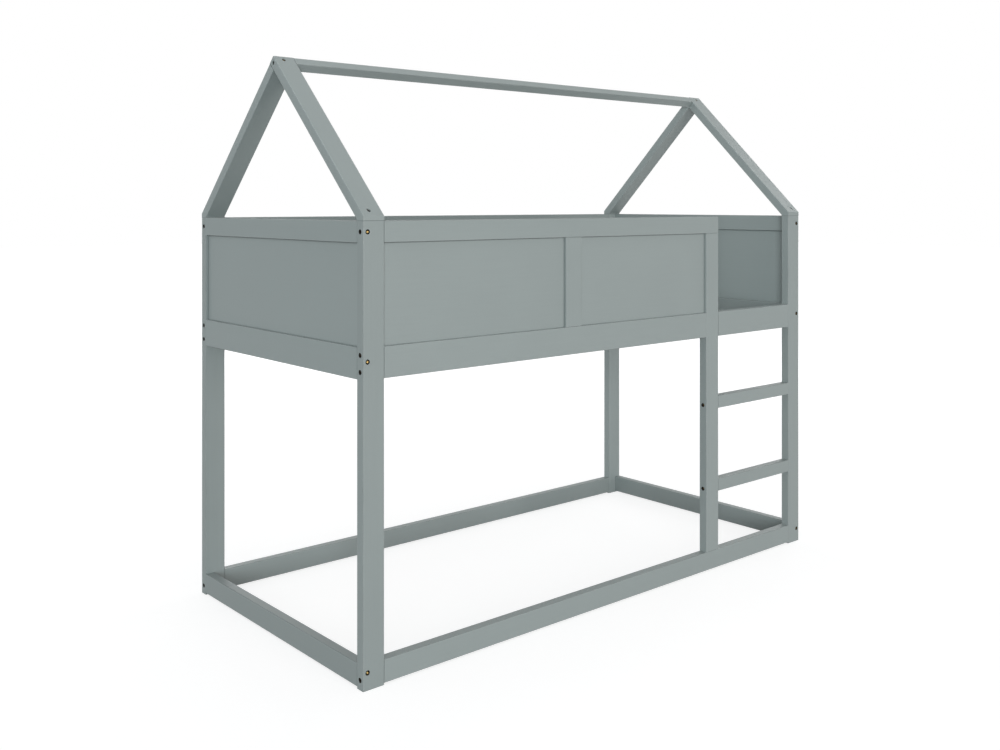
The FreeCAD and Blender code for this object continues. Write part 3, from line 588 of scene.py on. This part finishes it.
# %% [markdown]
# ## The shape of a turned bolt
#
# A connector bolt for furniture has a slim crown with a hexagon socket, and a flange that it seats
# with. In its drilled hole only the crown catches the light, and the rest is a dark ring round it; the
# ring is also painted shade, on the plate below the crown and on the hole's wall. It could be a
# cylinder with the socket cut out. One grid does it at once: rings about the axis, from the middle of
# the socket up its wall, over the crown, down to the flange and along the shank to the tip. In the
# socket the rings are hexagons, and elsewhere circles.

# %% Bolt surface
HEAD_RADIUS = 0.005
CROWN_RADIUS = 0.0027
CROWN_EASE = 0.0003
FLARE_TOP = 0.0034
FLARE_RINGS = 5
FLANGE_HEIGHT = 0.0012
SOCKET_WIDTH = 0.0030
SOCKET_RIM = 0.0019
SOCKET_DEPTH = 0.0012
SOCKET_EASE = 0.0001
SHANK_RADIUS = 0.003
TIP_TAPER = 0.0007
BOLT_STEPS = 30


def bolt_rings(length, turn):
    """Rings of points (r cos a, r sin a, z), z from the seat, and the two end points on the axis.

    In the socket r is half its width over the cosine of the angle to the nearest flat. From the crown
    to the flange the radius follows a quarter of an ellipse, hollow to the outside.
    """
    angle = np.linspace(0.0, 2.0 * math.pi, BOLT_STEPS, endpoint=False)
    sixth = math.pi / 3
    hexagon = SOCKET_WIDTH / 2 / np.cos((angle + sixth / 2) % sixth - sixth / 2)
    top, floor = HEAD_HEIGHT, HEAD_HEIGHT - SOCKET_DEPTH
    flare = np.linspace(0.0, math.pi / 2, FLARE_RINGS)
    outline = [(SOCKET_RIM, top), (CROWN_RADIUS - CROWN_EASE, top), (CROWN_RADIUS, top - CROWN_EASE)]
    outline += zip(CROWN_RADIUS + (HEAD_RADIUS - CROWN_RADIUS) * (1.0 - np.cos(flare)),
                   FLARE_TOP - (FLARE_TOP - FLANGE_HEIGHT) * np.sin(flare))
    outline += [(HEAD_RADIUS, 0.0), (SHANK_RADIUS, 0.0), (SHANK_RADIUS, TIP_TAPER - length),
                (SHANK_RADIUS - TIP_TAPER, -length)]
    rows = [(hexagon, floor), (hexagon, top - SOCKET_EASE)]
    rows += [(np.full(BOLT_STEPS, radius), height) for radius, height in outline]
    radius = np.array([row[0] for row in rows])
    height = np.array([row[1] for row in rows])[:, None] + np.zeros(BOLT_STEPS)
    rings = np.stack((radius * np.cos(angle + turn), radius * np.sin(angle + turn), height), axis=-1)
    ends = np.array(((0.0, 0.0, floor - SOCKET_EASE), (0.0, 0.0, -length)))
    return rings, ends


def ring_faces(count, steps):
    """Quads between neighbouring rings, and triangles from the first and last ring to the end points."""
    ring = np.arange(count - 1)[:, None] * steps
    here = np.arange(steps)
    there = (here + 1) % steps
    quads = np.stack((ring + here, ring + steps + here, ring + steps + there, ring + there), axis=-1)
    first, last = count * steps, count * steps + 1
    outer = (count - 1) * steps
    cap = np.stack((np.full(steps, first), here, there), axis=-1)
    tip = np.stack((np.full(steps, last), outer + there, outer + here), axis=-1)
    return quads.reshape(-1, 4), np.concatenate((cap, tip))


print(f"a bolt's head is {HEAD_RADIUS * 2000:.0f} mm wide and its crown {CROWN_RADIUS * 2000:.1f} mm")

# %% [markdown]
# ## Turned bolts in their places
#
# Each shape is turned onto the axis of its plain bolt and moved to its seat. All the bolts of one
# group go into one mesh, which stands for the group. Each bolt is turned by its own angle, as nobody
# lines the sockets up. In the roof, and at the end with the rungs, the plate is painted darker than at
# the other end: painted shade.

# %% Bolts in place
NEXT_SOCKET = 1.3  # the turn from one bolt's socket to that of the next
# below the crown the plate turns to tarnish and painted shade
RUBBED_AND_LIT_DEPTH = 0.0014
RUBBED_AND_LIT_ENDS = 1.5  # below the top of the head, counted in rubbed depths
# painted shade: the bolts in the roof and at the end with the rungs are darkened
PAINTED_BOLT_SHADE = 0.2
ROOF_HEIGHT = 1.3
SHARP_EDGE = math.radians(40.0)


def placed_bolt(bolt, turn):
    """One bolt's points in place, its count of rings, and how bright each point is, against tarnish and
    painted shade.
    """
    rings, ends = bolt_rings(bolt.length, turn)
    shape = np.concatenate((rings.reshape(-1, 3), ends))
    level = np.cross(bolt.way, AXES[np.argmin(np.abs(bolt.way))])
    level /= np.linalg.norm(level)
    ways = np.array((level, np.cross(bolt.way, level), bolt.way))
    rubbed = np.clip((shape[:, 2] - HEAD_HEIGHT) / RUBBED_AND_LIT_DEPTH + RUBBED_AND_LIT_ENDS, 0.0, 1.0)
    # painted shade on the bolts in the roof and at the end with the rungs
    if bolt.seat[0] > 0.0 or bolt.seat[2] > ROOF_HEIGHT:
        rubbed *= PAINTED_BOLT_SHADE
    return shape @ ways + bolt.seat, len(rings), rubbed


def turned_bolts(name, bolts):
    """One mesh with all the bolts of a group; it stands for the plain group."""
    points, faces, rubbed_and_lit_points = [], [], []
    for number, bolt in enumerate(bolts):
        shape, count, rubbed = placed_bolt(bolt, number * NEXT_SOCKET)
        quads, triangles = ring_faces(count, BOLT_STEPS)
        start = number * len(shape)
        points += shape.tolist()
        rubbed_and_lit_points += rubbed.tolist()
        faces += (quads + start).tolist() + (triangles + start).tolist()
    mesh = bpy.data.meshes.new(f"turned_{name}")
    mesh.from_pydata(points, [], faces)
    mesh.attributes.new("rubbed", "FLOAT", "POINT").data.foreach_set("value", rubbed_and_lit_points)
    mesh.shade_smooth()
    mesh.set_sharp_from_angle(angle=SHARP_EDGE)
    mesh.materials.append(brass_material)
    piece = bpy.data.objects.new(f"turned_{name}", mesh)
    bpy.context.scene.collection.objects.link(piece)
    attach(piece, "root")
    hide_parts(name)
    return len(faces)


print(sum(turned_bolts(name, bolts) for name, bolts in bolts_of.items()), "faces on the bolts")

# %% [markdown]
# ## The floor
#
# The photograph has a bare white ground. A floor that is only lit would need so much light to turn
# white that the bed would wash out. So the floor keeps a plain grey under the lamps, and glows for
# the camera, and for what mirrors and glass would see, just enough to reach white. Far from the bed
# less lamp light falls, so the glow rises there. Where the bed takes lamp light away, the shadow
# stays.

# %% Floor
FLOOR_HALF = 30.0
FLOOR_LINES = 9
FLOOR_COLOUR = (0.36, 0.36, 0.36)
BLACK, WHITE = (0.0, 0.0, 0.0), (1.0, 1.0, 1.0)
NEAR_GLOW, FAR_GLOW = 0.79, 0.97
NEAR, FAR = 2.0, 7.0


def seen_directly(recipe):
    """1 for rays from the camera, a mirror or through glass, and 0 for the light that falls on things."""
    camera = recipe.node("ShaderNodeLightPath", {}, {}, "Is Camera Ray")
    mirror, glass = camera.out("Is Glossy Ray"), camera.out("Is Transmission Ray")
    return camera.math("MAXIMUM", mirror).math("MAXIMUM", glass)


def grid_floor(half, lines):
    """A level square: x and y run from -half to half over so many evenly spaced lines, z is 0."""
    line = np.linspace(-half, half, lines)
    x, y = np.meshgrid(line, line)
    points = np.stack((x, y, np.zeros_like(x)), axis=-1).reshape(-1, 3)
    corner = (np.arange(lines - 1)[:, None] * lines + np.arange(lines - 1)).reshape(-1)
    faces = np.stack((corner, corner + 1, corner + lines + 1, corner + lines), axis=-1)
    mesh = bpy.data.meshes.new("floor")
    mesh.from_pydata(points.tolist(), [], faces.tolist())
    return mesh


floor = bpy.data.objects.new("floor", grid_floor(FLOOR_HALF, FLOOR_LINES))
bpy.context.scene.collection.objects.link(floor)
floor_material, recipe, point = new_finish("floor")
lit = recipe.node("ShaderNodeBsdfDiffuse", {}, {"Color": opaque(FLOOR_COLOUR)})
way = recipe.node("ShaderNodeVectorMath", {"operation": "LENGTH"}, {0: point}, "Value")
share = way.step(NEAR, FAR) * (FAR_GLOW - NEAR_GLOW) + NEAR_GLOW
shade = recipe.mix(BLACK, WHITE, seen_directly(recipe) * share)
glow = recipe.node("ShaderNodeEmission", {}, {"Color": shade})
both = recipe.node("ShaderNodeAddShader", {}, {0: lit, 1: glow})
recipe.node("ShaderNodeOutputMaterial", {}, {"Surface": both})
floor.data.materials.append(floor_material)
print(f"a floor of {FLOOR_HALF * 2:.0f} m")

# %% [markdown]
# ## The walls
#
# The bed stands in a studio whose pale walls give even light, more from the sides than from above.
# They could be modelled as a room. A world that darkens towards the zenith gives the same light with
# no corners. To the camera the walls are plain white, by the same rule as the floor.

# %% Walls
WALL_LIGHT, CEILING_LIGHT = 0.5, 0.3
WALL_COLOUR = (0.98, 1.0, 1.01)

world = bpy.data.worlds.new("studio")
bpy.context.scene.world = world
world.use_nodes = True
recipe = Recipe(world.node_tree)
direction = recipe.node("ShaderNodeTexCoord", {}, {}, "Generated")
upward = recipe.node("ShaderNodeSeparateXYZ", {}, {0: direction}, "Z")
seen = seen_directly(recipe)
walls = upward.math("MAXIMUM", 0.0) * (CEILING_LIGHT - WALL_LIGHT) + WALL_LIGHT
shade = recipe.mix(WALL_COLOUR, WHITE, seen)
sky = recipe.node("ShaderNodeBackground", {}, {"Color": shade, "Strength": seen + (1.0 - seen) * walls})
recipe.node("ShaderNodeOutputWorld", {}, {"Surface": sky})
print(f"walls at {WALL_LIGHT}, a ceiling at {CEILING_LIGHT}")

# %% [markdown]
# ## The soft boxes
#
# Soft boxes add to the light of the walls: a large one far behind the camera, so that light also
# reaches in through the way in and under the bunk, a low warm one in front, and weak ones at the left
# end, overhead and on the far sides. Small lamps would draw hard shadows and bright spots.

# %% Soft boxes
WARM, COOL = (1.0, 0.93, 0.90), (0.93, 1.0, 1.03)
AIM = (0.0, 0.0, 0.85)
SoftBox = namedtuple("SoftBox", "name place size power colour")
SOFT_BOXES = (
    SoftBox("main_box", (-9.0, -9.7, 1.8), 5.0, 840.0, COOL),
    SoftBox("front_low_box", (0.0, -6.0, 1.05), 2.0, 80.0, WARM),
    SoftBox("left_box", (-3.8, 0.3, 3.3), 2.5, 12.0, COOL),
    SoftBox("top_box", (0.0, -0.5, 5.5), 4.0, 20.0, WHITE),
    SoftBox("right_box", (6.0, 0.8, 2.6), 3.0, 80.0, WHITE),
    SoftBox("back_high_box", (1.5, 4.5, 5.5), 3.0, 30.0, WHITE),
    SoftBox("back_low_box", (0.5, 6.0, 1.05), 2.0, 60.0, WHITE),
)


def aimed(place, target):
    """The turn that points an object's -Z from a place at a target, with its Y upwards."""
    away = np.subtract(place, target)
    heading = math.atan2(away[1], away[0])
    lift = math.atan2(away[2], math.hypot(away[0], away[1]))
    return Euler((math.pi / 2 - lift, 0.0, heading + math.pi / 2))


for box in SOFT_BOXES:
    lamp = bpy.data.lights.new(box.name, "AREA")
    lamp.shape = "SQUARE"
    lamp.size = box.size
    lamp.energy = box.power
    lamp.color = box.colour
    holder = bpy.data.objects.new(box.name, lamp)
    holder.location = box.place
    holder.rotation_euler = aimed(box.place, AIM)
    bpy.context.scene.collection.objects.link(holder)
bpy.context.scene.view_settings.view_transform = "Standard"
print(f"{len(SOFT_BOXES)} soft boxes")

# %% [markdown]
# ## The camera
#
# The upright posts are parallel in the photograph, so its camera looks level, and the frame was moved
# down to take in the whole bed. Blender does the same with the camera's shift. The place, the turn
# and the length of the lens come from matching the corners of the bed with their pixels.

# %% Camera
IMAGE_WIDTH, IMAGE_HEIGHT = 1000, 750
FOCAL_PIXELS = 1069.6
CENTRE_PIXEL = (456.9, 204.1)
CAMERA_PLACE = (-2.6705, -2.8709, 1.3173)
CAMERA_HEADING = math.radians(39.456)
SENSOR_WIDTH = 36.0  # in millimetres, as the lens

lens = bpy.data.cameras.new("camera")
lens.sensor_width = SENSOR_WIDTH
lens.lens = FOCAL_PIXELS / IMAGE_WIDTH * SENSOR_WIDTH
lens.shift_x = (IMAGE_WIDTH / 2 - CENTRE_PIXEL[0]) / IMAGE_WIDTH
lens.shift_y = (CENTRE_PIXEL[1] - IMAGE_HEIGHT / 2) / IMAGE_WIDTH
camera = bpy.data.objects.new("camera", lens)
camera.location = CAMERA_PLACE
camera.rotation_euler = (math.pi / 2, 0.0, -CAMERA_HEADING)
bpy.context.scene.collection.objects.link(camera)
bpy.context.scene.camera = camera
print(f"lens {lens.lens:.1f} mm, shift {lens.shift_x:.3f}, {lens.shift_y:.3f}")
